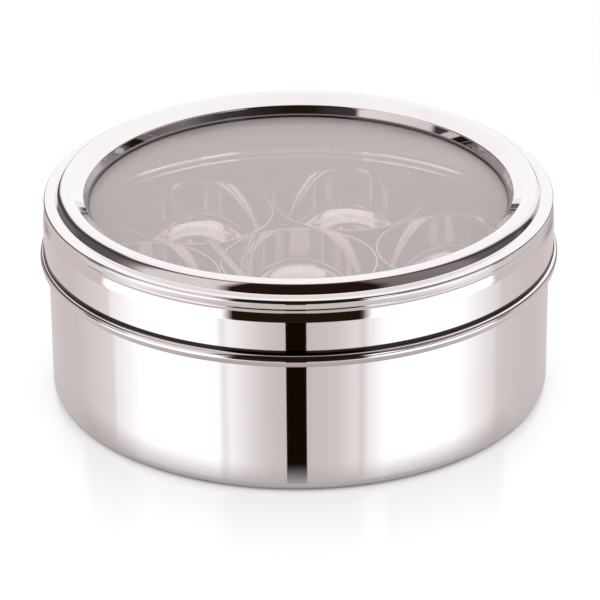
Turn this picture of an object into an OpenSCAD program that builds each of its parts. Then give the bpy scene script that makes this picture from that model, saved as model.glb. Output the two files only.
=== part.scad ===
// Round steel spice box with a see-through lid.
// A drawn container holds seven loose bowls and a small spoon. The stamped lid slides over the
// container's wall, rests on its rim and frames a clear pane with a raised ring.
// Millimetres, +Z up, origin at the middle of the face that the box stands on.

/* [Bowls] */
// Outside diameter of a bowl at its rim
bowl_d = 63.2; // [56:0.1:72]
// Height of a bowl
bowl_h = 48.6; // [40:0.1:52]
// How far a bowl's wall leans in from rim to base
bowl_lean = 2.0; // [0:0.1:4]
// Outer bend radius between a bowl's wall and its base
bowl_bend = 7.5; // [3:0.1:12]
// Gap between the rims of neighbouring bowls
bowl_gap = 0.8; // [0.6:0.1:3]
// Turn of the ring of bowls about the box's middle, in degrees
ring_turn = 11; // [0:1:59]

/* [Container] */
// Thickness of the steel sheet of every stamped piece
sheet = 0.6; // [0.4:0.05:0.9]
// Height of the container from the surface it stands on to its rim
container_h = 81.0; // [74:0.1:90]
// Gap between the outer bowls and the container's wall
wall_gap = 3.8; // [1:0.1:8]
// Outer bend radius between the wall and the base
base_bend = 4.0; // [2:0.1:8]
// Width of the flat ring that the container stands on
foot_w = 6.0; // [3:0.1:10]
// Height of the pressed-up panel inside that ring
panel_rise = 1.0; // [0.4:0.1:2]
// Height of the guide bead round the wall, up to its middle
guide_z = 56.4; // [50:0.1:64]
// Height of the guide bead along the wall
guide_h = 3.2; // [2.4:0.1:5]
// How far the guide bead stands out of the wall
guide_out = 0.7; // [0.3:0.05:1]

/* [Lid] */
// Gap between the container's wall and the lid's waist
lid_gap = 0.4; // [0.3:0.05:1]
// Gap between the container's rim and the lid's corner that rests on it
seat_gap = 0.3; // [0.2:0.05:0.6]
// Height of the lid from its flat ledge down to the bottom of its rolled edge
lid_h = 27.0; // [24:0.1:34]
// How far the brim stands out over the waist below it
brim_out = 0.35; // [0.2:0.05:0.6]
// Height of the brim, from the ledge down to the waist
brim_h = 3.7; // [3:0.1:5]
// Bend radius of the waist under the brim
waist_bend = 0.2; // [0.1:0.05:0.3]
// How far the fold below the waist stands out
fold_out = 0.2; // [0.1:0.05:0.3]
// Height from the waist down to the fold
fold_h = 0.35; // [0.3:0.05:0.6]
// Height from the ledge down to the shoulder
step_h = 5.3; // [4.8:0.1:7]
// Height of the sloping shoulder
shoulder_h = 3.2; // [2:0.1:6]
// How far the shoulder spreads the skirt
shoulder_out = 0.7; // [0.4:0.05:1.5]
// Bend radius above the shoulder
shoulder_bend = 0.6; // [0.4:0.1:1.5]
// Bend radius where the shoulder runs out into the skirt
skirt_bend = 6.0; // [3:0.1:8]
// Height of the rolled edge
curl_h = 5.3; // [4.4:0.1:7]
// How far the rolled edge stands out of the skirt
curl_out = 1.9; // [1.7:0.05:2.6]
// Height of the flare between the skirt and the rolled edge
flare_h = 1.0; // [0.6:0.1:2]
// Bend radius at the root of the flare
flare_bend = 1.2; // [0.6:0.1:1.6]
// Bend radius at the top of the rolled edge
curl_top_bend = 1.9; // [1.2:0.1:2.2]
// How far the rolled edge leans back in at its bottom
curl_in = 0.7; // [0.4:0.05:0.8]
// Bend radius at the bottom of the rolled edge
curl_bend = 0.9; // [0.8:0.05:1]
// How far the end of the rolled edge lies inside the skirt
hem_in = 0.4; // [0.3:0.05:0.6]
// Width of the flat ledge round the raised ring
ledge_w = 4.75; // [3.6:0.05:7]
// Bend radius of the ledge's outer edge
ledge_bend = 1.6; // [1.2:0.1:2]

/* [Raised ring] */
// Width of the raised ring's steep foot
foot_out_w = 1.5; // [1.2:0.1:2.5]
// Rise of that foot
foot_rise = 2.5; // [2:0.05:3]
// Bend radius between the foot and the outer slope
haunch_bend = 8.0; // [4:0.1:8.5]
// Width of the outer slope
hump_out_w = 3.2; // [3:0.1:5]
// Rise of the outer slope, up to where it would meet the inner slope
hump_rise = 2.9; // [2.4:0.05:3.4]
// Width of the inner slope
hump_in_w = 6.7; // [5:0.1:9]
// Fall of the inner slope
hump_fall = 5.1; // [4:0.05:6]
// Bend radius of the crease between the ledge and the foot
crease_bend = 0.6; // [0.3:0.1:1.5]
// Bend radius of the crest between the two slopes
crest_bend = 3.5; // [2:0.1:3.7]
// Bend radius between the inner slope and the steep band
knee_bend = 1.0; // [0.8:0.1:2]
// Width of the steep band round the window
band_w = 1.0; // [0.6:0.1:3]
// Height of that band
band_h = 3.35; // [2.4:0.05:4.5]
// Width of the flat lip at the foot of the band
lip_w = 1.1; // [1.1:0.1:2.4]
// Bend radius between the steep band and the lip
lip_bend = 0.3; // [0.2:0.1:0.4]
// Height of the turned-down edge that presses on the pane
lip_drop = 1.0; // [0.9:0.1:2]

/* [Window] */
// Thickness of the clear pane
pane_t = 2.0; // [1.5:0.1:3]
// Width of the pane's margin outside the turned-down edge
pane_margin = 6.5; // [5:0.1:8]
// Width of the flange that carries the pane's edge
ring_bearing = 4.5; // [3:0.1:6]
// Bend radius between that flange and the ring's wall
ring_bend = 0.3; // [0.2:0.1:0.6]
// Gap between the ring's outer edge and the container's wall
ring_gap = 0.4; // [0.3:0.05:1]
// Clearance between pieces of the lid that are clamped together
clamp_gap = 0.1; // [0.05:0.05:0.2]

/* [Spoon] */
// Whole length of the spoon
spoon_l = 94; // [84:0.5:104]
// Length of the spoon's oval head
head_l = 29; // [24:0.5:34]
// Width of the head
head_w = 19; // [15:0.5:23]
// Depth of the head's dish
dish_depth = 4.0; // [2:0.1:6]
// Width of the handle at its round end
handle_w = 3.4; // [2.8:0.1:6]
// Width of the handle where it meets the head
neck_w = 2.6; // [2:0.1:4]
// Thickness of the spoon's metal
spoon_t = 1.0; // [0.8:0.1:1.4]
// Gap between the head and the rim of the bowl that it hangs in
head_gap = 6.0; // [4:0.1:8]
// Direction of the spoon, from handle to head, in degrees
spoon_turn = -68; // [-80:1:-56]
// Gap under bowls and spoon where they rest
rest_gap = 0.2; // [0.1:0.05:0.4]

/* [Hidden] */

// Segments of a full turn, and of each bend in a profile
$fn = 160;
bend_steps = 7;

// Smallest bend that the sheet takes with its inner face still open
tight_bend = sheet + 0.2;

// The bowls stand side by side, one in the middle and the rest in a ring of six
ring_bowls = 6;
bowl_r = bowl_d / 2;
ring_r = bowl_d + bowl_gap;
floor_z = panel_rise + sheet;
bowl_z = floor_z + rest_gap;
rim_z = bowl_z + bowl_h;

// The container's wall goes round the ring of bowls
container_r = ring_r + bowl_r + wall_gap + sheet;
foot_r = container_r - base_bend;
panel_r = foot_r - foot_w;

// The container's rim seats in the bend of the lid's corner
waist_r = container_r + lid_gap + sheet;
brim_r = waist_r + brim_out;
seat_in = max(0, container_r - (brim_r - ledge_bend));
seat_drop = ledge_bend - sqrt(pow(ledge_bend - sheet, 2) - pow(seat_in, 2));
ledge_z = container_h + seat_gap + seat_drop;
waist_z = ledge_z - brim_h;
skirt_r = waist_r + shoulder_out;
curl_r = skirt_r + curl_out;
hem_r = skirt_r - hem_in;
shoulder_top = ledge_z - step_h;
shoulder_bottom = shoulder_top - shoulder_h;
curl_bottom = ledge_z - lid_h;
curl_top = curl_bottom + curl_h;

// The raised ring, from the ledge in to the window
crease_r = brim_r - ledge_w;
haunch_r = crease_r - foot_out_w;
haunch_z = ledge_z + foot_rise;
crest_r = haunch_r - hump_out_w;
crest_z = haunch_z + hump_rise;
knee_r = crest_r - hump_in_w;
knee_z = crest_z - hump_fall;
lip_r = knee_r - band_w;
lip_z = knee_z - band_h;
window_r = lip_r - lip_w;

// The pane hangs under the turned-down edge, on the flange of its ring
pane_top = lip_z - lip_drop - clamp_gap;
pane_z = pane_top - pane_t;
pane_r = window_r + pane_margin;
ring_wall_r = pane_r + clamp_gap;
ring_top = ledge_z - sheet - clamp_gap;
ring_out_r = container_r - sheet - ring_gap;

// The spoon's head hangs in one of the front bowls, its handle on the rims
spoon_bowl = 5;
spoon_z = rim_z + rest_gap;
head_shift = bowl_r - sheet - head_w / 2 - head_gap;
spoon_dir = [cos(spoon_turn), sin(spoon_turn)];
spoon_side = [-spoon_dir.y, spoon_dir.x];
head_mid = ring_place(spoon_bowl) + head_shift * spoon_side;
spoon_tip = head_mid - (spoon_l - head_l / 2) * spoon_dir;
spoon_stations = 40;
spoon_ribs = 8;

steel = "silver";
clear = [0.85, 0.88, 0.9, 0.4];

// Middle of a bowl of the ring
function ring_place(i) =
    let (turn = ring_turn + (i - 1) * 360 / ring_bowls)
    ring_r * [cos(turn), sin(turn)];

function unit(v) = v / norm(v);
function left_of(v) = [-v.y, v.x];
function spin(v, a) = [v.x * cos(a) - v.y * sin(a), v.x * sin(a) + v.y * cos(a)];
function flat(p) = [p[0], p[1]];
function reversed(list) = [for (i = [len(list) - 1:-1:0]) list[i]];

// One bend of a path, shifted to the left by side. A corner is [radius, height, bend radius].
function bend(before, corner, after, side) =
    let (
        u = unit(flat(corner) - flat(before)),
        v = unit(flat(after) - flat(corner)),
        turn = u.x * v.y - u.y * v.x > 0 ? 1 : -1,
        angle = acos(u * v),
        radius = corner[2],
        to_centre = turn * left_of(u),
        centre = flat(corner) - u * radius * tan(angle / 2) + to_centre * radius
    )
    [for (i = [0:bend_steps])
        centre - spin(to_centre, turn * angle * i / bend_steps) * (radius - turn * side)];

// A whole path shifted to the left by side
function path_side(path, side) =
    let (
        last = len(path) - 1,
        first_dir = unit(flat(path[1]) - flat(path[0])),
        last_dir = unit(flat(path[last]) - flat(path[last - 1]))
    )
    concat(
        [flat(path[0]) + side * left_of(first_dir)],
        [for (i = [1:last - 1]) each bend(path[i - 1], path[i], path[i + 1], side)],
        [flat(path[last]) + side * left_of(last_dir)]
    );

// Sheet metal turned about the box's axis. The path is the face that shows.
module spun_sheet(path, side) {
    rotate_extrude()
        polygon(concat(path_side(path, 0), reversed(path_side(path, side))));
}

// Drawn container: pressed-up base, straight wall, one shallow guide bead
module container() {
    guide_low = guide_z - guide_h / 2;
    guide_high = guide_z + guide_h / 2;
    color(steel)
        spun_sheet([
            [0, panel_rise],
            [panel_r - panel_rise, panel_rise, tight_bend],
            [panel_r, 0, tight_bend],
            [container_r, 0, base_bend],
            [container_r, guide_low, tight_bend],
            [container_r + guide_out, guide_z, guide_h / 4],
            [container_r, guide_high, tight_bend],
            [container_r, container_h]
        ], sheet);
}

// Stamped lid: turned-down lip, raised ring, ledge, stepped skirt and rolled edge
module lid_shell() {
    color(steel)
        spun_sheet([
            [window_r, lip_z - lip_drop],
            [window_r, lip_z, tight_bend],
            [lip_r, lip_z, lip_bend],
            [knee_r, knee_z, knee_bend],
            [crest_r, crest_z, crest_bend],
            [haunch_r, haunch_z, haunch_bend],
            [crease_r, ledge_z, crease_bend],
            [brim_r, ledge_z, ledge_bend],
            [waist_r, waist_z, waist_bend],
            [waist_r + fold_out, waist_z - fold_h, tight_bend],
            [waist_r, shoulder_top, shoulder_bend],
            [skirt_r, shoulder_bottom, skirt_bend],
            [skirt_r, curl_top + flare_h, flare_bend],
            [curl_r, curl_top, curl_top_bend],
            [curl_r - curl_in, curl_bottom, curl_bend],
            [hem_r, curl_bottom, tight_bend],
            [hem_r, curl_bottom + curl_h / 3]
        ], -sheet);
}

// Clear disc held between the lid's turned-down edge and its ring
module window_pane() {
    color(clear)
        translate([0, 0, pane_z])
            cylinder(r = pane_r, h = pane_t);
}

// Stepped ring under the lid's ledge: it carries the pane and guides the lid inside the rim
module pane_ring() {
    bearing_z = pane_z - clamp_gap;
    color(steel)
        spun_sheet([
            [pane_r - ring_bearing, bearing_z],
            [ring_wall_r, bearing_z, ring_bend],
            [ring_wall_r, ring_top, tight_bend],
            [ring_out_r, ring_top]
        ], -sheet);
}

// Drawn bowl with a round-cornered base and a wall that leans a little
module bowl() {
    color(steel)
        spun_sheet([
            [0, 0],
            [bowl_r - bowl_lean, 0, bowl_bend],
            [bowl_r, bowl_h]
        ], sheet);
}

module bowl_centre() {
    translate([0, 0, bowl_z])
        bowl();
}

module ring_bowl(i) {
    place = ring_place(i);
    translate([place.x, place.y, bowl_z])
        bowl();
}

// Half the spoon's width at a distance from the end of its handle
function spoon_half_w(s) =
    let (
        along = (s - (spoon_l - head_l)) / head_l,
        oval = along > 0 ? head_w / 2 * sqrt(max(0, 1 - pow(2 * along - 1, 2))) : 0,
        end_r = handle_w / 2,
        taper = end_r + (neck_w / 2 - end_r) * s / (spoon_l - head_l),
        handle = s < end_r ? sqrt(max(0, end_r * end_r - pow(end_r - s, 2))) : taper,
        neck = along < 0.5 ? handle : 0
    )
    max(oval, neck, spoon_t / 4);

// Depth of the dish along the middle of the spoon
function spoon_dish(s) =
    let (along = (s - (spoon_l - head_l)) / head_l)
    along > 0 ? dish_depth * pow(sin(180 * along), 1.2) : 0;

// One cross-section, up one face and back along the other
function spoon_section(s) =
    let (half_w = spoon_half_w(s), dish = spoon_dish(s))
    [for (face = [0, 1]) for (k = [0:spoon_ribs])
        let (across = (face == 0 ? 1 : -1) * (2 * k / spoon_ribs - 1))
        [s, across * half_w, (face == 0 ? 0 : spoon_t) - dish * (1 - across * across)]];

// Distances of the cross-sections, closer together towards both ends
function spoon_at(i) =
    let (
        half = spoon_stations / 2,
        neck_s = spoon_l - head_l
    )
    i <= half
        ? neck_s * (1 - cos(90 * i / half))
        : neck_s + head_l * (1 - cos(180 * (i - half) / half)) / 2;

// Small spoon: its sections are skinned from the end of the handle to the tip of the head
module spoon() {
    around = 2 * (spoon_ribs + 1);
    points = [for (i = [0:spoon_stations]) each spoon_section(spoon_at(i))];
    sides = [for (i = [0:spoon_stations - 1]) for (k = [0:around - 1])
        let (a = i * around + k, b = i * around + (k + 1) % around)
        each [[a, a + around, b], [b, a + around, b + around]]];
    handle_end = [for (k = [0:spoon_ribs - 1])
        let (far = around - 1 - k)
        each [[k, k + 1, far - 1], [k, far - 1, far]]];
    last = spoon_stations * around;
    head_end = [for (face = handle_end) [last + face[0], last + face[2], last + face[1]]];
    color(steel)
        translate([spoon_tip.x, spoon_tip.y, spoon_z])
            rotate([0, 0, spoon_turn])
                polyhedron(points, concat(sides, handle_end, head_end));
}

container();
lid_shell();
window_pane();
pane_ring();
bowl_centre();
for (i = [1:ring_bowls])
    ring_bowl(i);
spoon();
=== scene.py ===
"""Looks of a round steel spice box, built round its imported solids.

Property groups hold the sizes and colours, each operator makes one piece or one group of like pieces,
and the panel lists the operators. main() calls them in order.
"""

from math import cos, hypot, pi, radians, sin, sqrt, tan

import bmesh
import bpy
from bpy.props import FloatProperty, FloatVectorProperty, IntProperty, PointerProperty
from bpy.types import Operator, Panel, PropertyGroup
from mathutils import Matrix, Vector


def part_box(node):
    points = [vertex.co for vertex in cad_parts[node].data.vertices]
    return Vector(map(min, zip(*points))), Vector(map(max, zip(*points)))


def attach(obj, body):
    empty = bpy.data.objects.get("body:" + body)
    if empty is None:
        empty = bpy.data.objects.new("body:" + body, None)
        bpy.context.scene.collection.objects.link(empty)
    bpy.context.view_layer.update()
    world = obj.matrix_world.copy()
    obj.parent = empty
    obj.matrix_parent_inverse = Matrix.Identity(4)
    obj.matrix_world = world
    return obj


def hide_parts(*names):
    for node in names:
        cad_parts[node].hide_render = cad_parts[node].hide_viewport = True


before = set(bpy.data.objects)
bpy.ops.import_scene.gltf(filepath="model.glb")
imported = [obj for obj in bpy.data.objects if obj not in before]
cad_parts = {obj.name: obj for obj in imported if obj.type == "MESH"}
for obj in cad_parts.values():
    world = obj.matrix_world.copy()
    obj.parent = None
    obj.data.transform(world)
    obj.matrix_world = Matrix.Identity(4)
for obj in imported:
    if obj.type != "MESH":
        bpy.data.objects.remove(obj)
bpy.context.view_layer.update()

bl_info = {
    "name": "Spice box",
    "version": (1, 0, 0),
    "blender": (4, 5, 0),
    "location": "View3D > Sidebar > Spice box",
    "description": "Models and dresses a round steel spice box with a see-through lid",
    "category": "Add Mesh",
}

MM = 0.001
SAME_PLACE = 0.001 * MM  # points closer than this are one point
CUT_ANGLE = radians(60.0)  # edges sharper than this are cut edges
CUT_STEPS = 3  # faces across a rounded cut edge
RING_BOWLS = ["bowl_%d" % i for i in range(1, 7)]


def length(name, mm, description):
    """A length that the user can change, given in millimetres."""
    return FloatProperty(name=name, description=description, default=mm * MM, min=0.0,
                         precision=5, unit="LENGTH")


def colour(name, rgb, description):
    """A colour that the user can change."""
    return FloatVectorProperty(name=name, description=description, default=rgb, size=3,
                               min=0.0, soft_max=1.0, subtype="COLOR")


def share(name, value, description):
    """A plain number that the user can change."""
    return FloatProperty(name=name, description=description, default=value, min=0.0, precision=3)


def turn(name, deg, description):
    """An angle that the user can change, given in degrees."""
    return FloatProperty(name=name, description=description, default=radians(deg), unit="ROTATION")


def count(name, number, description):
    """A whole number that the user can change."""
    return IntProperty(name=name, description=description, default=number, min=3)


class SheetSizes(PropertyGroup):
    """Sizes that every sheet-metal piece shares."""
    thickness: length("Sheet", 0.6, "Thickness of the steel sheet")
    cut_round: length("Cut edge", 0.15, "Rounding of the sheet's cut edges")
    tight_bend: length("Tight bend", 0.8, "Outer radius of the tightest bends")
    segments: count("Segments", 192, "Faces round the lid and the container")
    bend_steps: count("Bend steps", 8, "Faces across one bend")


class ContainerSizes(PropertyGroup):
    """Sizes of the drawn container."""
    radius: length("Radius", 100.0, "Outside radius of the wall")
    base_bend: length("Base bend", 4.0, "Outer bend radius between the wall and the base")
    foot_width: length("Foot", 6.0, "Width of the flat ring that the container stands on")
    panel_rise: length("Panel", 1.0, "Height of the pressed-up panel inside that ring")
    guide_z: length("Guide bead", 56.4, "Height of the guide bead's middle")
    guide_h: length("Guide height", 3.2, "Height of the guide bead along the wall")
    guide_out: length("Guide depth", 0.65, "How far the guide bead stands out of the wall")
    guide_bend: length("Guide bend", 2.8, "Bend radius below the guide bead")
    burnish_h: length("Burnish", 2.08, "Height of the burnished band in the guide bead's lower half")
    line_z: length("Drawn line", 52.9, "Height of the fine line that drawing leaves inside the wall")
    line_h: length("Line height", 1.5, "Height of that line along the wall")
    line_in: length("Line depth", 0.4, "How far the wall steps in below that line")


class LidSizes(PropertyGroup):
    """Sizes of the stamped lid, from the window out to the rolled edge."""
    waist_r: length("Waist", 101.0, "Radius of the waist below the brim")
    brim_out: length("Brim", 0.35, "How far the brim stands out over the waist")
    brim_h: length("Brim height", 3.7, "Height from the ledge down to the waist")
    waist_bend: length("Waist bend", 0.2, "Bend radius of the waist")
    fold_out: length("Fold", 0.2, "How far the fold below the waist stands out")
    fold_h: length("Fold height", 0.35, "Height from the waist down to the fold")
    ledge_z: length("Ledge", 81.932, "Height of the flat ledge")
    ledge_width: length("Ledge width", 4.75, "Width of the flat ledge")
    ledge_bend: length("Ledge bend", 1.6, "Bend radius of the ledge's outer edge")
    crease_bend: length("Crease", 0.6, "Bend radius between the ledge and the raised ring")
    haunch_width: length("Haunch width", 1.5, "Width of the raised ring's steep foot")
    haunch_rise: length("Haunch rise", 2.5, "Rise of that foot")
    haunch_bend: length("Haunch bend", 8.0, "Bend radius between the foot and the outer slope")
    out_width: length("Outer slope", 3.2, "Width of the raised ring's outer slope")
    rise: length("Rise", 2.9, "Rise of the outer slope")
    in_width: length("Inner slope", 6.7, "Width of the inner slope")
    fall: length("Fall", 5.1, "Fall of the inner slope")
    crest_bend: length("Crest", 3.5, "Bend radius of the crest")
    knee_bend: length("Knee", 1.0, "Bend radius between the inner slope and the steep band")
    band_width: length("Band width", 1.0, "Width of the steep band")
    band_h: length("Band", 3.35, "Height of the steep band")
    lip_width: length("Lip", 1.1, "Width of the flat lip at the foot of the band")
    lip_bend: length("Lip bend", 0.3, "Bend radius between the band and the lip")
    lip_drop: length("Lip drop", 1.0, "Height of the edge that is turned down on the pane")
    step_h: length("Step", 5.3, "Height from the ledge down to the shoulder")
    shoulder_h: length("Shoulder", 3.2, "Height of the sloping shoulder")
    shoulder_out: length("Shoulder width", 0.7, "How far the shoulder spreads the skirt")
    shoulder_bend: length("Shoulder bend", 0.6, "Bend radius above the shoulder")
    skirt_bend: length("Skirt bend", 6.0, "Bend radius where the shoulder runs into the skirt")
    height: length("Height", 27.0, "Height from the ledge down to the rolled edge's bottom")
    flare_h: length("Flare", 1.4, "Height of the flare above the rolled edge")
    flare_bend: length("Flare bend", 1.4, "Bend radius at the root of the flare")
    curl_h: length("Rolled edge", 3.5, "Height of the rolled edge")
    curl_out: length("Rolled edge width", 1.9, "How far the rolled edge stands out of the skirt")
    curl_in: length("Rolled edge lean", 0.8, "How far the rolled edge leans back in at its bottom")
    curl_top_bend: length("Rolled edge top", 2.3, "Bend radius at the top of the rolled edge")
    curl_bend: length("Rolled edge bottom", 0.85, "Bend radius at the bottom of the rolled edge")
    hem_in: length("Hem", 0.4, "How far the end of the rolled edge lies inside the skirt")
    # Painted shade: the next nine sizes place the near-black bands that paint shade and dark reflections at
    # the root of the flare, on the lip's turned-down edge and on the lip
    flare_shade_z: length("Flare paste", 0.77, "Height of the paste's middle over the root of the flare")
    flare_shade_h: length("Flare paste height", 2.1, "Height of the paste there")
    flare_shade_out: length("Flare paste width", 0.35, "How far out of the skirt the paste reaches")
    drop_shade_z: length("Edge paste", 0.35, "Height of the paste's middle over the end of the lip")
    drop_shade_h: length("Edge paste height", 1.4, "Height of the paste there")
    drop_shade_out: length("Edge paste width", 0.22, "How far on to the lip that paste reaches")
    drop_shade_cover: share("Edge cover", 0.9, "Share of the steel that this paste covers")
    lip_shade_h: length("Lip paste", 1.0, "Height of the paste on the lip")
    lip_shade_cover: share("Lip cover", 0.86, "Share of the steel that this paste covers")


class WindowSizes(PropertyGroup):
    """Sizes of the clear pane and the ring that carries it."""
    edge_round: length("Pane edge", 0.3, "Rounding of the pane's edges")
    bearing: length("Bearing", 4.5, "Width of the flange under the pane")
    ring_bend: length("Ring bend", 0.3, "Bend radius between that flange and the ring's wall")
    clamp_gap: length("Clamp gap", 0.1, "Clearance between clamped pieces")


class BowlSizes(PropertyGroup):
    """Sizes of one bowl."""
    lean: length("Lean", 0.1, "How far the wall leans in from rim to base")
    bend: length("Base bend", 7.5, "Outer bend radius between wall and base")
    rim: share("Rim", 0.55, "Roughness of the ground rim")
    segments: count("Segments", 128, "Faces round a bowl")


class SpoonSizes(PropertyGroup):
    """Sizes of the spoon, from the end of its handle to the tip of its head."""
    length: length("Length", 94.0, "Whole length")
    head_l: length("Head length", 29.0, "Length of the oval head")
    head_w: length("Head width", 19.0, "Width of the head")
    dish: length("Dish", 4.0, "Depth of the head's dish")
    handle_w: length("Handle", 3.4, "Width of the handle at its round end")
    neck_w: length("Neck", 2.6, "Width of the handle where it meets the head")
    thickness: length("Thickness", 1.0, "Thickness of the metal")
    dull: share("Dullness", 0.4, "Roughness of the tumbled metal")
    # Painted shade: the steel's colour darkened to about half, so the spoon's faces read dark beside its
    # bright edges
    dull_tint_painted_shade: colour("Tumbled metal", (0.42, 0.39, 0.39), "Colour of the tumbled metal")
    heading: turn("Heading", -68.0, "Direction from handle to head, about the box's axis")
    head_shift: length("Head place", 15.5, "Distance from the head to the middle of its bowl")
    edge_round: length("Edge", 0.25, "Rounding of the edges")
    dish_form: share("Dish form", 1.2, "Power of the dish's curve along the head")
    stations: count("Stations", 16, "Cross-sections along half the spoon")
    ribs: count("Ribs", 8, "Faces across the spoon")


class SteelLook(PropertyGroup):
    """Finish of the polished steel."""
    tint: colour("Steel", (0.79, 0.762, 0.765), "Colour of the polished steel")
    roughness: share("Roughness", 0.018, "Roughness of the cleanest polish")
    smudge: share("Smudge", 0.02, "Roughness that wiping marks add")
    # Painted shade: a near-black colour that paints the dark lines of shade and dark reflection in the
    # lid's creases and on its lip
    paste: colour("Paste", (0.025, 0.02, 0.018), "Polishing paste left in the creases")
    # Painted light: the satin insides take the steel's colour made lighter and pinker than the outside,
    # standing in for light that does not reach them
    satin_tint_with_painted_light: colour("Satin steel", (0.96, 0.90, 0.885), "Colour of the satin insides")
    satin: share("Satin", 0.28, "Roughness of the satin insides")
    turning: share("Turning lines", 0.012, "Roughness that the turning lines add")
    line_scale: share("Line scale", 2600.0, "Scale of the turning lines across the surface")
    wipe_scale: share("Wipe scale", 26.0, "Scale of the wiping marks")
    cloud_scale: share("Cloud scale", 9.0, "Scale of the faint clouds in the colour")
    clouds: share("Clouds", 0.015, "How far the clouds lighten and darken the colour")
    relief: length("Relief", 0.02, "Height of the turning lines")
    relief_share: share("Relief share", 0.02, "Strength of that height in the gloss")


class AcrylicLook(PropertyGroup):
    """Finish of the clear pane."""
    tint: colour("Acrylic", (0.95, 0.83, 0.83), "Colour of the pane's slight haze")
    haze: share("Haze", 0.11, "Haze of each face, looked at squarely")
    slant_haze: share("Slant haze", 0.36, "Haze that a slanting look adds")
    wipe_scale: share("Wipe scale", 14.0, "Scale of the wiping marks")
    smudge: share("Smudge", 0.03, "Roughness of the wiping marks")
    ior: share("Refraction", 1.49, "Index of refraction")


class StudioLook(PropertyGroup):
    """Light, floor and camera."""
    grey: colour("Grey", (0.709, 0.647, 0.638), "Grey walls of the studio, as the steel shows them")
    white: share("Softboxes", 1.36, "Strength of the white softboxes in the steel")
    black: colour("Flags", (0.007, 0.004, 0.002), "Black flags over and before the box")
    brown: colour("Dim panels", (0.12, 0.10, 0.10), "Dim panels over the two sides")
    floor: colour("Table", (0.42, 0.37, 0.365), "Table below the box, as the steel shows it")
    lit_floor: colour("Lit floor", (0.74, 0.69, 0.69), "Colour of the floor, as it lights the box")
    shown_floor: share("Shown floor", 1.19, "Whiteness of the floor, as the camera sees it")
    floor_gloss: share("Floor gloss", 0.08, "Roughness of the floor")
    floor_size: length("Floor size", 6000.0, "Side of the floor")
    floor_drop: length("Floor drop", 0.1, "How far the floor lies below the box")
    near_floor: length("Near floor", 100.0, "How far from the axis the steel mirrors all of the floor")
    far_floor: length("Far floor", 124.0, "How far from the axis the steel mirrors any of it")
    fade_from: length("Fade from", 173.6, "How far from the axis the floor starts to fade to white")
    fade_to: length("Fade to", 372.0, "How far from the axis only plain white is left")
    sky: share("Backdrop", 0.87, "White of the backdrop, as a share of the softboxes")
    flag_share: share("Standing flags", 2.6, "Tone of the standing flags, as a share of the flags' black")
    flag_left: turn("Flag left", -6.15, "Left edge of the camera's flag, as the table mirrors it")
    flag_right: turn("Flag right", 3.05, "Right edge of the camera's flag, as the table mirrors it")
    flag_edge: turn("Flag edge", 0.15, "Half the width of the soft edges of that flag")
    dome_lean: turn("Backdrop lean", 49.2, "How high the middle of the backdrop stands, at the back")
    view_end: length("View end", 20000.0, "How far the camera sees")
    pitch: turn("Pitch", 25.983, "How far the camera looks down")
    roll: turn("Roll", -0.436, "How far the camera leans")
    lens: FloatProperty(name="Lens", description="Focal length, in millimetres", default=204.0, min=20.0)
    sensor: FloatProperty(name="Sensor", description="Width of the sensor, in millimetres", default=36.0)
    camera: FloatVectorProperty(name="Camera", description="Place of the camera", size=3, unit="LENGTH",
                                default=(0.00031, -1.2334, 0.6341), precision=5, subtype="TRANSLATION")


# Modelling with rings

def deselect_all():
    """Goes back to object mode with nothing selected."""
    if bpy.context.mode != "OBJECT":
        bpy.ops.object.mode_set(mode="OBJECT")
    bpy.ops.object.select_all(action="DESELECT")


def new_ring(name, radius, height, segments):
    """Starts a piece as one bare ring about the box's axis, and goes into edit mode."""
    deselect_all()
    bpy.ops.mesh.primitive_circle_add(vertices=segments, radius=radius, location=(0.0, 0.0, height))
    piece = bpy.context.object
    piece.name = name
    piece.data.name = name
    bpy.ops.object.transform_apply(location=True, rotation=True, scale=True)
    bpy.ops.object.mode_set(mode="EDIT")
    bpy.ops.mesh.select_mode(type="EDGE")
    bpy.ops.mesh.select_all(action="SELECT")
    return piece


def select_edges(piece, wanted):
    """Selects the edges whose two ends both answer the test."""
    bpy.ops.mesh.select_all(action="DESELECT")
    shape = bmesh.from_edit_mesh(piece.data)
    for edge in shape.edges:
        edge.select_set(all(wanted(end.co) for end in edge.verts))
    bmesh.update_edit_mesh(piece.data)


def on_ring(radius, height):
    """Test for points of the ring of that radius and height."""
    return lambda point: (abs(hypot(point.x, point.y) - radius) < SAME_PLACE
                          and abs(point.z - height) < SAME_PLACE)


def draw_out(path):
    """Extrudes the selected ring along the path, one ring for each corner."""
    for before, corner in zip(path, path[1:]):
        bpy.ops.mesh.extrude_region_move(
            TRANSFORM_OT_translate={"value": (0.0, 0.0, corner[1] - before[1])})
        grow = corner[0] / before[0]
        bpy.ops.transform.resize(value=(grow, grow, 1.0), center_override=(0.0, 0.0, corner[1]))


def close_middle():
    """Closes the selected ring with faces that meet in its middle."""
    bpy.ops.mesh.extrude_region_move()
    bpy.ops.mesh.merge(type="CENTER")


def bend_corners(piece, path, steps):
    """Bevels each inner corner of the path to its bend radius."""
    for before, corner, after in zip(path, path[1:], path[2:]):
        into = Vector(corner[:2]) - Vector(before[:2])
        out = Vector(after[:2]) - Vector(corner[:2])
        select_edges(piece, on_ring(corner[0], corner[1]))
        bpy.ops.mesh.bevel(offset=corner[2] * tan(into.angle(out) / 2), offset_type="ABSOLUTE",
                           segments=steps, profile=0.5, affect="EDGES", clamp_overlap=False)


def agree_faces(piece, sample_place):
    """Makes the faces agree, and gives the normal of the one nearest to the sample place."""
    bpy.ops.mesh.select_all(action="SELECT")
    bpy.ops.mesh.remove_doubles(threshold=SAME_PLACE)
    bpy.ops.mesh.normals_make_consistent(inside=False)
    shape = bmesh.from_edit_mesh(piece.data)
    shape.normal_update()
    place = Vector(sample_place)
    face = min(shape.faces, key=lambda one: (one.calc_center_median() - place).length)
    return face.normal


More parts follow.
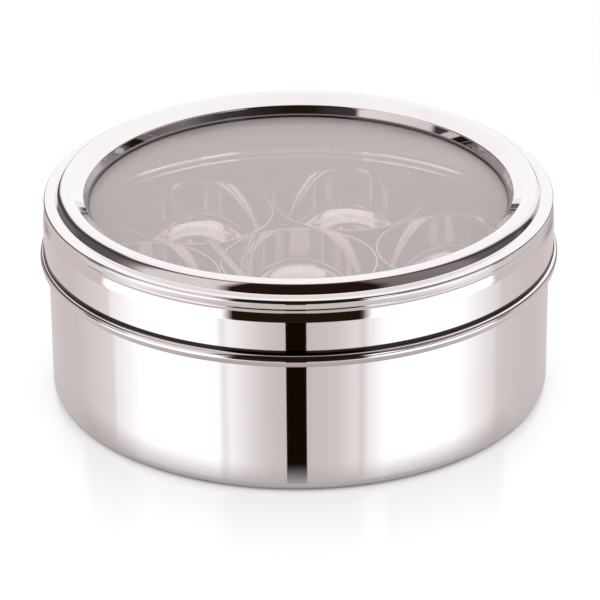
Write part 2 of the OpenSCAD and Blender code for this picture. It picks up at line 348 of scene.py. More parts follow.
def thicken(piece, thickness, cut_round, edge_finish=-1):
    """Gives the sheet its thickness on the hidden side, in the second material, and rounds its cut edges.

    The cut edges keep their neighbours' finish, or take the one of that number.
    """
    bpy.ops.object.mode_set(mode="OBJECT")
    wall = piece.modifiers.new("Sheet", "SOLIDIFY")
    wall.thickness = thickness
    wall.offset = -1.0
    wall.use_even_offset = True
    wall.material_offset = 1
    wall.material_offset_rim = max(edge_finish, 0)
    bpy.ops.object.modifier_apply(modifier=wall.name)
    bpy.ops.object.mode_set(mode="EDIT")
    bpy.ops.mesh.select_mode(type="EDGE")
    bpy.ops.mesh.select_all(action="DESELECT")
    bpy.ops.mesh.edges_select_sharp(sharpness=CUT_ANGLE)
    bpy.ops.mesh.bevel(offset=cut_round, offset_type="OFFSET", segments=CUT_STEPS, profile=0.5,
                       affect="EDGES", material=edge_finish)
    bpy.ops.object.mode_set(mode="OBJECT")


def smooth(piece):
    """Shades the piece smooth, with flat stretches kept flat."""
    bpy.ops.object.shade_smooth()
    normals = piece.modifiers.new("Flat stretches", "WEIGHTED_NORMAL")
    normals.weight = 50
    bpy.ops.object.modifier_apply(modifier=normals.name)


def note_turning(piece):
    """Keeps each point's radius and height, which the polishing marks follow."""
    turned = piece.data.attributes.new("turned", "FLOAT_VECTOR", "POINT")
    for point, kept in zip(piece.data.vertices, turned.data):
        kept.vector = (hypot(point.co.x, point.co.y), point.co.z, 0.0)


def turned_sheet(name, path, sizes, segments, finishes, closed=False):
    """A sheet-metal piece: the path is its showing face, as corners of radius, height and bend radius.

    The finishes are those of the showing face, of the face behind it and, where there is a third, of the
    cut edges.
    """
    piece = new_ring(name, path[0][0], path[0][1], segments)
    for finish in finishes:
        piece.data.materials.append(finish)
    draw_out(path)
    if closed:
        close_middle()
    bend_corners(piece, path, sizes.bend_steps)
    corner = max(path, key=lambda one: one[0])
    if agree_faces(piece, (corner[0], 0.0, corner[1])).x < 0.0:
        bpy.ops.mesh.select_all(action="SELECT")
        bpy.ops.mesh.flip_normals()
    thicken(piece, sizes.thickness, sizes.cut_round, 2 if len(finishes) > 2 else -1)
    smooth(piece)
    note_turning(piece)
    return piece


# Materials

def node_math(tree, operation, *values):
    """One math node. Values are numbers or sockets."""
    node = tree.nodes.new("ShaderNodeMath")
    node.operation = operation
    for socket, value in zip(node.inputs, values):
        put(tree, value, socket)
    return node.outputs[0]


def put(tree, value, socket):
    """Links a socket, or sets a number or colour."""
    if isinstance(value, bpy.types.NodeSocket):
        tree.links.new(value, socket)
    else:
        socket.default_value = value


def node_range(tree, value, low, high, to_low=0.0, to_high=1.0):
    """A soft step from one value to another."""
    node = tree.nodes.new("ShaderNodeMapRange")
    node.interpolation_type = "SMOOTHSTEP"
    for name, number in (("Value", value), ("From Min", low), ("From Max", high),
                         ("To Min", to_low), ("To Max", to_high)):
        put(tree, number, node.inputs[name])
    return node.outputs[0]


def node_mix(tree, factor, first, second):
    """A mix of two colours."""
    node = tree.nodes.new("ShaderNodeMix")
    node.data_type = "RGBA"
    put(tree, factor, node.inputs[0])
    put(tree, first, node.inputs[6])
    put(tree, second, node.inputs[7])
    return node.outputs[2]


def node_noise(tree, vector, scale, detail):
    """A noise texture's value."""
    node = tree.nodes.new("ShaderNodeTexNoise")
    tree.links.new(vector, node.inputs["Vector"])
    node.inputs["Scale"].default_value = scale
    node.inputs["Detail"].default_value = detail
    return node.outputs[0]


def rgba(rgb):
    """A colour with full alpha."""
    return (rgb[0], rgb[1], rgb[2], 1.0)


def even(number):
    """A plain tone, with three equal parts."""
    return Vector((number, number, number))


def new_material(name):
    """A new material, with its node tree and its shader."""
    material = bpy.data.materials.new(name)
    material.use_nodes = True
    tree = material.node_tree
    return material, tree, tree.nodes["Principled BSDF"]


def object_place(tree):
    """Place of each point in the piece's own coordinates."""
    return tree.nodes.new("ShaderNodeTexCoord").outputs["Object"]


def turned_place(tree):
    """Radius and height of each point about the box's axis, as one vector."""
    turned = tree.nodes.new("ShaderNodeAttribute")
    turned.attribute_name = "turned"
    return turned.outputs["Vector"]


def polish_group(look):
    """Group of the marks that polishing and wiping leave: roughness and height over the surface."""
    name = "Polishing marks"
    if name in bpy.data.node_groups:
        return bpy.data.node_groups[name]
    tree = bpy.data.node_groups.new(name, "ShaderNodeTree")
    for label, side in (("Clean roughness", "INPUT"), ("Smudge roughness", "INPUT"),
                        ("Roughness", "OUTPUT"), ("Height", "OUTPUT")):
        tree.interface.new_socket(label, in_out=side, socket_type="NodeSocketFloat")
    given = tree.nodes.new("NodeGroupInput")
    result = tree.nodes.new("NodeGroupOutput")
    lines = node_noise(tree, turned_place(tree), look.line_scale, detail=2.0)
    wiped = node_noise(tree, object_place(tree), look.wipe_scale, detail=4.0)
    smudged = node_range(tree, wiped, low=0.48, high=0.72)
    lined = node_math(tree, "MULTIPLY", lines, look.turning)
    added = node_math(tree, "MULTIPLY_ADD", smudged, given.outputs["Smudge roughness"], lined)
    rough = node_math(tree, "ADD", given.outputs["Clean roughness"], added)
    tree.links.new(rough, result.inputs["Roughness"])
    tree.links.new(lines, result.inputs["Height"])
    return tree


def radius_and_height(tree):
    """Radius and height of each point about the box's axis, as two values."""
    parts = tree.nodes.new("ShaderNodeSeparateXYZ")
    tree.links.new(turned_place(tree), parts.inputs[0])
    return parts.outputs[0], parts.outputs[1]


def band_mask(tree, height, reach, radius, cover):
    """Mask of a band round the piece at that height, out to that radius, with its share of cover."""
    full_reach = reach * 0.7
    soft = 0.2 * MM
    out, up = radius_and_height(tree)
    off = node_math(tree, "ABSOLUTE", node_math(tree, "SUBTRACT", up, height))
    level = node_range(tree, off, full_reach, reach, cover, 0.0)
    inside = node_range(tree, out, radius - soft, radius + soft, 1.0, 0.0)
    return node_math(tree, "MULTIPLY", level, inside)


def drawn_line(tree, normal, height, reach, depth):
    """Normal of a fine line at that height, below which the wall steps in by that depth."""
    up = radius_and_height(tree)[1]
    step = tree.nodes.new("ShaderNodeBump")
    step.inputs["Distance"].default_value = depth
    put(tree, node_range(tree, up, height - reach, height + reach, 1.0, 0.0), step.inputs["Height"])
    tree.links.new(normal, step.inputs["Normal"])
    return step.outputs["Normal"]


def steel_finish(name, look, roughness, tint, creases=(), burnished=(), lines=()):
    """Stainless steel with faint turning lines and wiping marks, mirror-bright or satin by its roughness.

    Painted shade darkens the creases towards near black, and burnished bands are mirror-bright. Each of
    them is given as height, half width, greatest radius and share of cover. Drawn lines are given as
    height, half width and depth.
    """
    material, tree, shader = new_material(name)
    marks = tree.nodes.new("ShaderNodeGroup")
    marks.node_tree = polish_group(look)
    marks.inputs["Clean roughness"].default_value = roughness
    marks.inputs["Smudge roughness"].default_value = look.smudge
    cloud = node_noise(tree, object_place(tree), look.cloud_scale, detail=3.0)
    tint = Vector(tint)
    toned = node_mix(tree, cloud, rgba(tint * (1.0 - look.clouds)), rgba(tint * (1.0 + look.clouds)))
    # Painted shade: each crease band mixes the colour towards the near-black crease shade
    for crease in creases:
        toned = node_mix(tree, band_mask(tree, *crease), toned, rgba(look.paste))
    put(tree, toned, shader.inputs["Base Color"])
    rough = marks.outputs["Roughness"]
    for band in burnished:
        brighter = look.roughness - roughness
        rough = node_math(tree, "MULTIPLY_ADD", band_mask(tree, *band), brighter, rough)
    tree.links.new(rough, shader.inputs["Roughness"])
    bump = tree.nodes.new("ShaderNodeBump")
    bump.inputs["Strength"].default_value = look.relief_share
    bump.inputs["Distance"].default_value = look.relief
    tree.links.new(marks.outputs["Height"], bump.inputs["Height"])
    normal = bump.outputs["Normal"]
    for line in lines:
        normal = drawn_line(tree, normal, *line)
    tree.links.new(normal, shader.inputs["Normal"])
    shader.inputs["Metallic"].default_value = 1.0
    return material


def sheet_finishes(name, look, creases=(), burnished=(), lines=()):
    """Finishes of a drawn piece: bright outside with its painted crease shade, satin inside with its bands
    and lines. The satin inside takes a lighter, pinker colour than the outside: painted light.
    """
    return (steel_finish(name + " steel, bright", look, look.roughness, look.tint, creases),
            steel_finish(name + " steel, satin", look, look.satin, look.satin_tint_with_painted_light, (), burnished, lines))


def clear_acrylic(name, look):
    """Clear cast acrylic with a slight haze and a trace of wiping marks."""
    material, tree, shader = new_material(name)
    wiped = node_noise(tree, object_place(tree), look.wipe_scale, detail=5.0)
    rough = node_range(tree, wiped, low=0.55, high=0.8, to_high=look.smudge)
    tree.links.new(rough, shader.inputs["Roughness"])
    slant = tree.nodes.new("ShaderNodeLayerWeight")
    haze = node_math(tree, "MULTIPLY_ADD", slant.outputs["Facing"], look.slant_haze, look.haze)
    tree.links.new(haze, shader.inputs["Alpha"])
    shader.inputs["Base Color"].default_value = rgba(look.tint)
    shader.inputs["IOR"].default_value = look.ior
    return material


def place_in_frame(piece, body, node):
    """Gives a piece its body, and hides the imported node that it stands for."""
    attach(piece, body)
    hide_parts(node)


# Pieces

class SPICEBOX_OT_container(Operator):
    """Model the drawn container"""
    bl_idname = "spicebox.container"
    bl_label = "Container"

    def execute(self, context):
        box = context.scene.spice_box
        sizes, sheet = box.container, box.sheet
        rim_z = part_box("container")[1].z
        r = sizes.radius
        foot_r = r - sizes.base_bend - sizes.foot_width
        half = sizes.guide_h / 2
        path = [
            (r, rim_z, 0.0),
            (r, sizes.guide_z + half, sheet.tight_bend),
            (r + sizes.guide_out, sizes.guide_z, half / 2),
            (r, sizes.guide_z - half, sizes.guide_bend),
            (r, 0.0, sizes.base_bend),
            (foot_r, 0.0, sheet.tight_bend),
            (foot_r - sizes.panel_rise, sizes.panel_rise, sheet.tight_bend),
            (foot_r / 2, sizes.panel_rise, 0.0),
        ]
        burnished = [
            (sizes.guide_z - sizes.burnish_h / 2, sizes.burnish_h / 2, r + sizes.guide_out, 1.0),
            (sizes.line_z, sizes.line_h / 2, r, 1.0),
        ]
        lines = [(sizes.line_z, sizes.line_h / 2, sizes.line_in)]
        finishes = sheet_finishes("Container", box.steel, burnished=burnished, lines=lines)
        piece = turned_sheet("container_shell", path, sheet, sheet.segments, finishes, closed=True)
        place_in_frame(piece, "container", "container")
        return {"FINISHED"}


def lid_path(sizes, sheet):
    """Corners of the lid's showing face, from the window's edge out to the end of the rolled edge."""
    brim_r = sizes.waist_r + sizes.brim_out
    waist_z = sizes.ledge_z - sizes.brim_h
    crease_r = brim_r - sizes.ledge_width
    haunch_r = crease_r - sizes.haunch_width
    haunch_z = sizes.ledge_z + sizes.haunch_rise
    crest_r = haunch_r - sizes.out_width
    crest_z = haunch_z + sizes.rise
    knee_r = crest_r - sizes.in_width
    knee_z = crest_z - sizes.fall
    lip_r = knee_r - sizes.band_width
    lip_z = knee_z - sizes.band_h
    window_r = lip_r - sizes.lip_width
    skirt_r = sizes.waist_r + sizes.shoulder_out
    curl_r = skirt_r + sizes.curl_out
    hem_r = skirt_r - sizes.hem_in
    step_z = sizes.ledge_z - sizes.step_h
    curl_z = sizes.ledge_z - sizes.height
    curl_top = curl_z + sizes.curl_h
    return [
        (window_r, lip_z - sizes.lip_drop, 0.0),
        (window_r, lip_z, sheet.tight_bend),
        (lip_r, lip_z, sizes.lip_bend),
        (knee_r, knee_z, sizes.knee_bend),
        (crest_r, crest_z, sizes.crest_bend),
        (haunch_r, haunch_z, sizes.haunch_bend),
        (crease_r, sizes.ledge_z, sizes.crease_bend),
        (brim_r, sizes.ledge_z, sizes.ledge_bend),
        (sizes.waist_r, waist_z, sizes.waist_bend),
        (sizes.waist_r + sizes.fold_out, waist_z - sizes.fold_h, sheet.tight_bend),
        (sizes.waist_r, step_z, sizes.shoulder_bend),
        (skirt_r, step_z - sizes.shoulder_h, sizes.skirt_bend),
        (skirt_r, curl_top + sizes.flare_h, sizes.flare_bend),
        (curl_r, curl_top, sizes.curl_top_bend),
        (curl_r - sizes.curl_in, curl_z, sizes.curl_bend),
        (hem_r, curl_z, sheet.tight_bend),
        (hem_r, curl_z + sizes.curl_h / 3, 0.0),
    ]


class SPICEBOX_OT_lid(Operator):
    """Model the stamped lid"""
    bl_idname = "spicebox.lid"
    bl_label = "Lid"

    def execute(self, context):
        box = context.scene.spice_box
        sizes = box.lid
        path = lid_path(sizes, box.sheet)
        skirt_r = sizes.waist_r + sizes.shoulder_out
        flare_z = sizes.ledge_z - sizes.height + sizes.curl_h + sizes.flare_h
        window_r, lip_end = path[0][:2]
        # Painted shade: near-black bands at the root of the flare, on the lip's turned-down edge and on the
        # lip, where shade and dark reflections fall
        creases = [
            (flare_z + sizes.flare_shade_z, sizes.flare_shade_h / 2, skirt_r + sizes.flare_shade_out, 1.0),
            (lip_end + sizes.drop_shade_z, sizes.drop_shade_h / 2, window_r + sizes.drop_shade_out,
             sizes.drop_shade_cover),
            (lip_end + sizes.lip_drop, sizes.lip_shade_h / 2, window_r + sizes.lip_width, sizes.lip_shade_cover),
        ]
        finishes = sheet_finishes("Lid", box.steel, creases)
        piece = turned_sheet("lid_stamping", path, box.sheet, box.sheet.segments, finishes)
        place_in_frame(piece, "lid", "lid_shell")
        return {"FINISHED"}


class SPICEBOX_OT_window(Operator):
    """Model the clear pane and the ring that carries it"""
    bl_idname = "spicebox.window"
    bl_label = "Window"

    def execute(self, context):
        box = context.scene.spice_box
        sizes, sheet = box.window, box.sheet
        low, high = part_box("window_pane")
        radius = high.x
        pane = new_ring("window_pane_clear", radius, low.z, sheet.segments)
        draw_out([(radius, low.z), (radius, high.z)])
        close_middle()
        select_edges(pane, on_ring(radius, low.z))
        close_middle()
        for height in (low.z, high.z):
            select_edges(pane, on_ring(radius, height))
            bpy.ops.mesh.bevel(offset=sizes.edge_round, segments=CUT_STEPS, profile=0.5, affect="EDGES")
        agree_faces(pane, (radius, 0.0, low.z))
        bpy.ops.object.mode_set(mode="OBJECT")
        smooth(pane)
        pane.data.materials.append(clear_acrylic("Clear acrylic", box.acrylic))
        place_in_frame(pane, "lid", "window_pane")

        bearing_z = low.z - sizes.clamp_gap
        wall_r = radius + sizes.clamp_gap
        ring_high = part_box("pane_ring")[1]
        path = [
            (radius - sizes.bearing, bearing_z, 0.0),
            (wall_r, bearing_z, sizes.ring_bend),
            (wall_r, ring_high.z, sheet.tight_bend),
            (ring_high.x, ring_high.z, 0.0),
        ]
        finishes = sheet_finishes("Ring", box.steel)
        ring = turned_sheet("pane_ring_pressing", path, sheet, sheet.segments, finishes)
        place_in_frame(ring, "lid", "pane_ring")
        return {"FINISHED"}


class SPICEBOX_OT_bowls(Operator):
    """Model one bowl and copy it to every bowl's place"""
    bl_idname = "spicebox.bowls"
    bl_label = "Bowls"

    def execute(self, context):
        box = context.scene.spice_box
        sizes, sheet = box.bowl, box.sheet
        low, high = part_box("bowl_centre")
        radius = high.x
        base_r = radius - sizes.lean
        path = [
            (radius, high.z, 0.0),
            (base_r, low.z, sizes.bend),
            (base_r / 2, low.z, 0.0),
        ]
        finish = steel_finish("Bowl steel", box.steel, box.steel.roughness, box.steel.tint)
        # Painted light: the ground rim takes the lightened satin colour, so the rims read brighter, on top
        # of their rougher grind
        rim = steel_finish("Bowl steel, ground rim", box.steel, sizes.rim, box.steel.satin_tint_with_painted_light)
        finishes = (finish, finish, rim)
        first = turned_sheet("bowl_centre_cup", path, sheet, sizes.segments, finishes, closed=True)
        for node in RING_BOWLS:
            place = (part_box(node)[0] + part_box(node)[1]) / 2
            deselect_all()
            first.select_set(True)
            bpy.context.view_layer.objects.active = first
            bpy.ops.object.duplicate(linked=False)
            bowl = bpy.context.object
            bowl.name = node + "_cup"
            bowl.data.name = bowl.name
            bpy.ops.transform.translate(value=(place.x, place.y, 0.0))
            bpy.ops.object.transform_apply(location=True, rotation=True, scale=True)
            place_in_frame(bowl, node, node)
        place_in_frame(first, "bowl_centre", "bowl_centre")
        return {"FINISHED"}


def spoon_half_width(sizes, s):
    """Half the spoon's width at a distance from the end of its handle."""
    neck = sizes.length - sizes.head_l
    end = sizes.handle_w / 2
    along = (s - neck) / sizes.head_l
    oval = sizes.head_w / 2 * sqrt(max(0.0, 1.0 - (2.0 * along - 1.0) ** 2)) if along > 0.0 else 0.0
    taper = end + (sizes.neck_w / 2 - end) * s / neck
    handle = sqrt(max(0.0, end * end - (end - s) ** 2)) if s < end else taper
    return max(oval, handle if along < 0.5 else 0.0, sizes.thickness / 4)


class SPICEBOX_OT_spoon(Operator):
    """Model the spoon that lies on the bowls"""
    bl_idname = "spicebox.spoon"
    bl_label = "Spoon"

    def execute(self, context):
        box = context.scene.spice_box
        sizes = box.spoon
        neck = sizes.length - sizes.head_l
        half = sizes.stations
        handle = [neck * (1.0 - cos(pi / 2 * i / half)) for i in range(half + 1)]
        head = [neck + sizes.head_l * (1.0 - cos(pi * i / half)) / 2 for i in range(1, half + 1)]
        places = handle + head

        # A strip is drawn out from the end of the handle, and each cross-section gets its width
        deselect_all()
        width = 1.0
        bpy.ops.mesh.primitive_grid_add(x_subdivisions=1, y_subdivisions=sizes.ribs, size=2.0 * width)
        spoon = bpy.context.object
        spoon.name = spoon.data.name = "spoon_forging"
        bpy.ops.object.mode_set(mode="EDIT")
        bpy.ops.mesh.select_mode(type="VERT")
        bpy.ops.mesh.select_all(action="DESELECT")
        shape = bmesh.from_edit_mesh(spoon.data)
        for point in shape.verts:
            point.select_set(point.co.x > 0.0)
        bmesh.update_edit_mesh(spoon.data)
        bpy.ops.mesh.delete(type="VERT")
        bpy.ops.mesh.select_all(action="SELECT")
        bpy.ops.transform.translate(value=(width, 0.0, 0.0))
        for before, after in zip([None] + places, places):
            if before is not None:
                bpy.ops.mesh.extrude_region_move(
                    TRANSFORM_OT_translate={"value": (after - before, 0.0, 0.0)})
            wanted = spoon_half_width(sizes, after)
            bpy.ops.transform.resize(value=(1.0, wanted / width, 1.0), center_override=(after, 0.0, 0.0))
            width = wanted

        # The head is dished, deepest in its middle
        shape = bmesh.from_edit_mesh(spoon.data)
        for point in shape.verts:
            along = (point.co.x - neck) / sizes.head_l
            if 0.0 < along < 1.0:
                across = point.co.y / spoon_half_width(sizes, point.co.x)
                point.co.z -= sizes.dish * sin(pi * along) ** sizes.dish_form * (1.0 - across * across)
        bmesh.update_edit_mesh(spoon.data)
        bpy.ops.mesh.select_all(action="SELECT")
        bpy.ops.mesh.normals_make_consistent(inside=False)
        shape = bmesh.from_edit_mesh(spoon.data)
        shape.normal_update()
        if sum(face.normal.z for face in shape.faces) < 0.0:
            bpy.ops.mesh.flip_normals()

        # It is turned to its heading and laid with its head over its bowl
        bpy.ops.object.mode_set(mode="OBJECT")
        bowl = (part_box("bowl_5")[0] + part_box("bowl_5")[1]) / 2
        forward = Vector((cos(sizes.heading), sin(sizes.heading), 0.0))
        sideways = Vector((-forward.y, forward.x, 0.0))
        end = bowl + sizes.head_shift * sideways - (sizes.length - sizes.head_l / 2) * forward
        spoon.rotation_euler.z = sizes.heading
        spoon.location = (end.x, end.y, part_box("spoon")[1].z)
        bpy.ops.object.transform_apply(location=True, rotation=True, scale=True)
        steel = box.steel
        # Painted shade: the faces take the darkened tint, while the rounded edges keep the plain steel
        # colour and read as bright lines
        for finish in (steel_finish("Spoon steel, dull", steel, sizes.dull, sizes.dull_tint_painted_shade),
                       steel_finish("Spoon steel, bright", steel, steel.roughness, steel.tint)):
            spoon.data.materials.append(finish)
        thicken(spoon, sizes.thickness, sizes.edge_round, edge_finish=1)
        round_off = spoon.modifiers.new("Forged round", "SUBSURF")
        round_off.levels = round_off.render_levels = 1
        bpy.ops.object.modifier_apply(modifier=round_off.name)
        smooth(spoon)
        note_turning(spoon)
        place_in_frame(spoon, "spoon", "spoon")
        return {"FINISHED"}


# Studio

def studio_ramp(tree, azimuth, stops):
    """Tones round the box, each stop being an azimuth in degrees and a tone.

    The azimuth is 0 at the front and 90 on the right.
    """
    node = tree.nodes.new("ShaderNodeValToRGB")
    put(tree, node_math(tree, "MULTIPLY_ADD", azimuth, 1.0 / (2.0 * pi), 0.5), node.inputs[0])
    ramp = node.color_ramp
    while len(ramp.elements) < len(stops):
        ramp.elements.new(0.5)
    for element, (angle, tone) in zip(ramp.elements, stops):
        element.position = angle / 360.0 + 0.5
        element.color = rgba(tone)
    return node.outputs[0]


def level_ramp(tree, azimuth, stops):
    """Heights round the box, each stop being an azimuth and an elevation in degrees."""
    return share_ramp(tree, azimuth, [(angle, 0.5 + 0.5 * sin(radians(elevation)))
                                      for angle, elevation in stops])


def share_ramp(tree, azimuth, stops):
    """Plain numbers round the box, each stop being an azimuth in degrees and a number."""
    return studio_ramp(tree, azimuth, [(angle, even(number)) for angle, number in stops])


def step_over(tree, value, border, soft):
    """Soft step from 0 to 1 where the value passes the border."""
    return node_range(tree, node_math(tree, "SUBTRACT", value, border), -soft, soft)


def step_up(tree, z, low, high):
    """Soft step from 0 to 1 between two elevations in degrees."""
    return node_range(tree, z, sin(radians(low)), sin(radians(high)))


def softboxes(tree, look, azimuth, height):
    """Softboxes left and right of the camera, with what stands beside, over and in front of them."""
    white = even(look.white)
    sky = white * look.sky
    grey, black, brown = (Vector(one) for one in (look.grey, look.black, look.brown))
    flag = black * look.flag_share
    wall_edge = 0.02
    panel_edge = 0.012

    # Softboxes on both sides of the camera's flag, grey walls beside them
    walls = studio_ramp(tree, azimuth, [
        (-180.0, brown * 3.0), (-150.0, brown * 3.0), (-140.0, grey), (-94.0, grey), (-91.0, white),
        (-33.0, white), (-28.5, flag), (26.5, flag), (31.0, white), (90.0, white), (93.0, grey),
        (132.0, grey), (150.0, brown * 3.0),
    ])
    # What stands over the softboxes, and how high up it starts
    over = studio_ramp(tree, azimuth, [
        (-180.0, sky), (-156.0, grey), (-146.0, brown * 2.4), (-136.0, brown * 1.7), (-126.0, brown * 1.6),
        (-118.0, brown), (-98.0, brown), (-91.0, brown * 1.5), (-85.0, brown * 2.6), (-77.0, grey * 1.2),
        (-42.0, grey * 1.2), (-34.0, flag), (38.0, flag), (46.0, brown * 1.8), (85.0, brown * 2.3),
        (92.0, brown * 1.2), (116.0, brown), (126.0, brown * 3.0), (136.0, grey), (150.0, sky),
    ])
    start = level_ramp(tree, azimuth, [
        (-180.0, -8.0), (-146.0, -12.0), (-128.0, -2.0), (-120.0, 3.0), (-110.0, 9.0), (-94.0, 12.0),
        (-88.0, 15.0), (-34.0, 15.0), (-30.0, 30.0), (40.0, 30.0), (46.0, 16.0), (86.0, 16.0),
        (96.0, 12.0), (106.0, 9.0), (116.0, 4.0), (128.0, -2.0), (150.0, -8.0),
    ])
    sides = node_mix(tree, step_over(tree, height, start, wall_edge), walls, over)

    # Row of panels in front of the softboxes, which the window's far band mirrors
    panels = studio_ramp(tree, azimuth, [
        (-180.0, brown * 0.45), (-78.0, brown * 0.45), (-75.0, grey * 1.1), (-68.0, grey * 1.13),
        (-34.0, grey * 1.32), (-31.0, brown * 0.45), (-20.0, brown * 0.4), (-8.0, flag), (6.0, flag),
        (20.0, brown * 0.24), (42.0, brown * 0.5), (52.0, brown * 0.9), (64.0, brown * 1.9),
        (78.0, brown * 1.5), (92.0, brown * 1.2),
    ])
    bottom = level_ramp(tree, azimuth, [
        (-180.0, -6.5), (-100.0, -6.5), (-78.0, -3.5), (-74.0, 1.5), (-45.0, 4.8), (-20.0, 6.5),
        (20.0, 6.5), (27.0, 1.0), (45.0, 1.0), (100.0, -6.5),
    ])
    top = level_ramp(tree, azimuth, [
        (-180.0, 4.0), (-104.0, 4.0), (-80.0, 6.5), (-68.0, 8.5), (-45.0, 11.5), (-20.0, 14.0),
        (20.0, 14.0), (42.0, 11.5), (65.0, 8.5), (85.0, 6.0), (100.0, 4.0),
    ])
    ends = share_ramp(tree, azimuth, [
        (-180.0, 0.0), (-104.0, 0.0), (-100.0, 1.0), (97.0, 1.0), (102.0, 0.0),
    ])
    between = node_math(tree, "MULTIPLY", step_over(tree, height, bottom, panel_edge),
                        step_over(tree, top, height, panel_edge))
    return node_mix(tree, node_math(tree, "MULTIPLY", between, ends), sides, panels)


def backdrop(tree, look, azimuth, y, z, sides):
    """White backdrop that sweeps up from the back and over the box, with a dark hem."""
    white = even(look.white)
    half_white = Vector(look.grey).lerp(white, 0.55)
    dark = Vector(look.brown) * 0.6

    # Soft borders, as far inside the rim as these shares
    hem_start = (-0.16, -0.11)
    hem_end = (-0.07, -0.03)
    half_start = (-0.03, 0.02)
    white_start = (0.0, 0.2)
    towards = node_math(tree, "MULTIPLY_ADD", z, sin(look.dome_lean),
                        node_math(tree, "MULTIPLY", y, cos(look.dome_lean)))
    rim = share_ramp(tree, azimuth, [
        (-180.0, 0.5), (-150.0, 0.6), (-140.0, 0.67), (-110.0, 0.65), (-98.0, 0.57), (98.0, 0.56),
        (116.0, 0.57), (134.0, 0.5),
    ])
    inside = node_math(tree, "SUBTRACT", towards, rim)
    hem = node_math(tree, "MULTIPLY", node_range(tree, inside, *hem_start),
                    node_range(tree, inside, *hem_end, 1.0, 0.0))
    sides = node_mix(tree, hem, sides, rgba(dark))
    sides = node_mix(tree, node_range(tree, inside, *half_start), sides, rgba(half_white))
    return node_mix(tree, node_range(tree, inside, *white_start), sides, rgba(white * look.sky))


def table_round(tree, look, azimuth):
    """Table round the box, with the mirror image of the camera's flag in it."""
    white = even(look.white)
    grey = Vector(look.grey)
    whiteness = [
        (-180.0, 0.0), (-124.0, 0.0), (-95.0, 0.28), (-93.0, 0.55), (-75.0, 1.0), (-38.0, 1.0),
        (-34.5, 0.42), (-32.0, 0.72), (-23.0, 0.36), (-15.0, 0.1), (-6.0, 0.0), (4.0, 0.0), (17.0, 0.1),
        (26.0, 0.38), (28.0, 0.16), (31.0, 0.52), (40.0, 1.0), (75.0, 1.0), (92.0, 0.5), (100.0, 0.32),
        (103.0, 0.12), (126.0, 0.0),
    ]
    table = studio_ramp(tree, azimuth, [(angle, grey.lerp(white, part)) for angle, part in whiteness])
    from_left = step_over(tree, azimuth, look.flag_left, look.flag_edge)
    to_right = step_over(tree, look.flag_right, azimuth, look.flag_edge)
    return node_mix(tree, node_math(tree, "MULTIPLY", from_left, to_right), table, rgba(look.black))


def studio_tones(tree, look):
    """Tone of the studio in each direction, as polished steel mirrors it."""
    place = tree.nodes.new("ShaderNodeTexCoord")
    parts = tree.nodes.new("ShaderNodeSeparateXYZ")
    tree.links.new(place.outputs["Generated"], parts.inputs[0])
    x, y, z = parts.outputs
    azimuth = node_math(tree, "ARCTAN2", x, node_math(tree, "MULTIPLY", y, -1.0))
    height = node_math(tree, "MULTIPLY_ADD", z, 0.5, 0.5)
    sides = backdrop(tree, look, azimuth, y, z, softboxes(tree, look, azimuth, height))

    # From straight below up to the horizon: foot of the table, grey, table, sides
    grey_from = (-75.0, -34.0)
    table_from = (-36.0, -31.0)
    sides_from = (-22.0, -18.0)
    below = node_mix(tree, step_up(tree, z, *grey_from), rgba(look.floor), rgba(look.grey))
    low = node_mix(tree, step_up(tree, z, *table_from), below, table_round(tree, look, azimuth))
    return node_mix(tree, step_up(tree, z, *sides_from), low, sides)


def studio_world(look):
    """White and grey studio that the steel mirrors; the camera itself sees plain white."""
    world = bpy.data.worlds.new("Studio")
    bpy.context.scene.world = world
    world.use_nodes = True
    tree = world.node_tree
    plain_white = (1.0, 1.0, 1.0, 1.0)
    ray = tree.nodes.new("ShaderNodeLightPath")
    spread = node_math(tree, "MINIMUM", ray.outputs["Diffuse Depth"], 1.0)
    lit = node_mix(tree, spread, studio_tones(tree, look), plain_white)
    shown = node_mix(tree, ray.outputs["Is Camera Ray"], lit, plain_white)
    tree.links.new(shown, tree.nodes["Background"].inputs["Color"])


def studio_floor(look):
    """White floor that keeps the box's shadow. The steel mirrors it only close to the box."""
    deselect_all()
    bpy.ops.mesh.primitive_plane_add(size=look.floor_size, location=(0.0, 0.0, -look.floor_drop))
    floor = bpy.context.object
    floor.name = "floor"
    material, tree, shader = new_material("White floor")
    ray = tree.nodes.new("ShaderNodeLightPath")
    seen = ray.outputs["Is Camera Ray"]
    shown = node_mix(tree, seen, rgba(look.lit_floor), rgba(even(look.shown_floor)))
    tree.links.new(shown, shader.inputs["Base Color"])
    shader.inputs["Roughness"].default_value = look.floor_gloss
    reach = tree.nodes.new("ShaderNodeVectorMath")
    reach.operation = "LENGTH"
    tree.links.new(object_place(tree), reach.inputs[0])
    distance = reach.outputs["Value"]

    # Far from the box the floor is left out, for the steel and then for the camera
    for_steel = node_range(tree, distance, look.near_floor, look.far_floor)
    for_camera = node_range(tree, distance, look.fade_from, look.fade_to)
    left_out = node_math(tree, "MULTIPLY_ADD", for_steel, ray.outputs["Is Glossy Ray"],
                         node_math(tree, "MULTIPLY", for_camera, seen))
    open_air = tree.nodes.new("ShaderNodeBsdfTransparent")
    ends = tree.nodes.new("ShaderNodeMixShader")
    tree.links.new(left_out, ends.inputs[0])
    tree.links.new(shader.outputs[0], ends.inputs[1])
    tree.links.new(open_air.outputs[0], ends.inputs[2])
    tree.links.new(ends.outputs[0], tree.nodes["Material Output"].inputs["Surface"])
    floor.data.materials.append(material)


def studio_camera(look):
    """Camera at the photograph's viewing angle."""
    lens = bpy.data.cameras.new("Camera")
    lens.lens = look.lens
    lens.sensor_width = look.sensor
    lens.clip_end = look.view_end
    camera = bpy.data.objects.new("Camera", lens)
    bpy.context.scene.collection.objects.link(camera)
    camera.location = look.camera
    camera.rotation_mode = "ZYX"
    camera.rotation_euler = (pi / 2 - look.pitch, 0.0, look.roll)
    bpy.context.scene.camera = camera


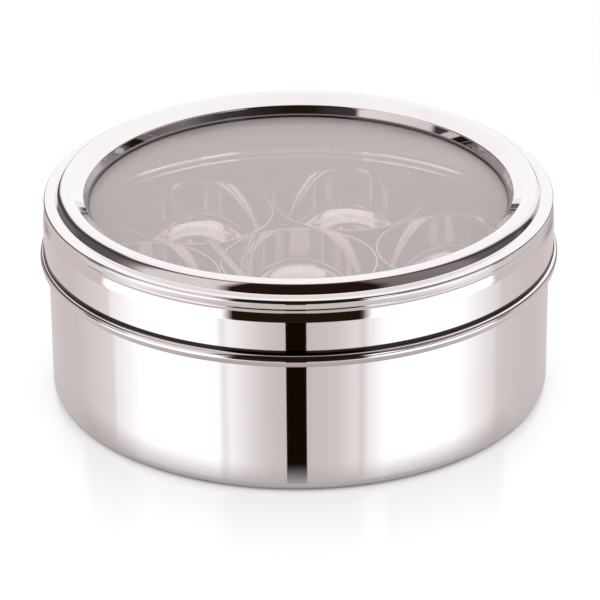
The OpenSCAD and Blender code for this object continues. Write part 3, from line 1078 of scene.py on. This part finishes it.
class SPICEBOX_OT_stage(Operator):
    """Set up the studio: camera, floor and world"""
    bl_idname = "spicebox.stage"
    bl_label = "Stage"

    def execute(self, context):
        look = context.scene.spice_box.studio
        context.scene.view_settings.view_transform = "Standard"
        studio_camera(look)
        studio_floor(look)
        studio_world(look)
        return {"FINISHED"}


class SpiceBox(PropertyGroup):
    """Everything that can be changed on the spice box."""
    sheet: PointerProperty(type=SheetSizes)
    container: PointerProperty(type=ContainerSizes)
    lid: PointerProperty(type=LidSizes)
    window: PointerProperty(type=WindowSizes)
    bowl: PointerProperty(type=BowlSizes)
    spoon: PointerProperty(type=SpoonSizes)
    steel: PointerProperty(type=SteelLook)
    acrylic: PointerProperty(type=AcrylicLook)
    studio: PointerProperty(type=StudioLook)


OPERATORS = (
    SPICEBOX_OT_stage,
    SPICEBOX_OT_container,
    SPICEBOX_OT_lid,
    SPICEBOX_OT_window,
    SPICEBOX_OT_bowls,
    SPICEBOX_OT_spoon,
)


class SPICEBOX_PT_panel(Panel):
    """Sidebar panel with one button for each piece"""
    bl_idname = "SPICEBOX_PT_panel"
    bl_label = "Spice box"
    bl_space_type = "VIEW_3D"
    bl_region_type = "UI"
    bl_category = "Spice box"

    def draw(self, context):
        for operator in OPERATORS:
            self.layout.operator(operator.bl_idname)


GROUPS = (SheetSizes, ContainerSizes, LidSizes, WindowSizes, BowlSizes, SpoonSizes, SteelLook, AcrylicLook,
          StudioLook)
CLASSES = GROUPS + (SpiceBox,) + OPERATORS + (SPICEBOX_PT_panel,)


def register():
    """Registers every class and adds the settings to the scene."""
    for one in CLASSES:
        bpy.utils.register_class(one)
    bpy.types.Scene.spice_box = PointerProperty(type=SpiceBox)


def unregister():
    """Takes everything off again."""
    del bpy.types.Scene.spice_box
    for one in reversed(CLASSES):
        bpy.utils.unregister_class(one)


def main():
    """Makes the stage and every piece."""
    register()
    bpy.ops.spicebox.stage()
    bpy.ops.spicebox.container()
    bpy.ops.spicebox.lid()
    bpy.ops.spicebox.window()
    bpy.ops.spicebox.bowls()
    bpy.ops.spicebox.spoon()
    deselect_all()


if __name__ == "__main__":
    main()
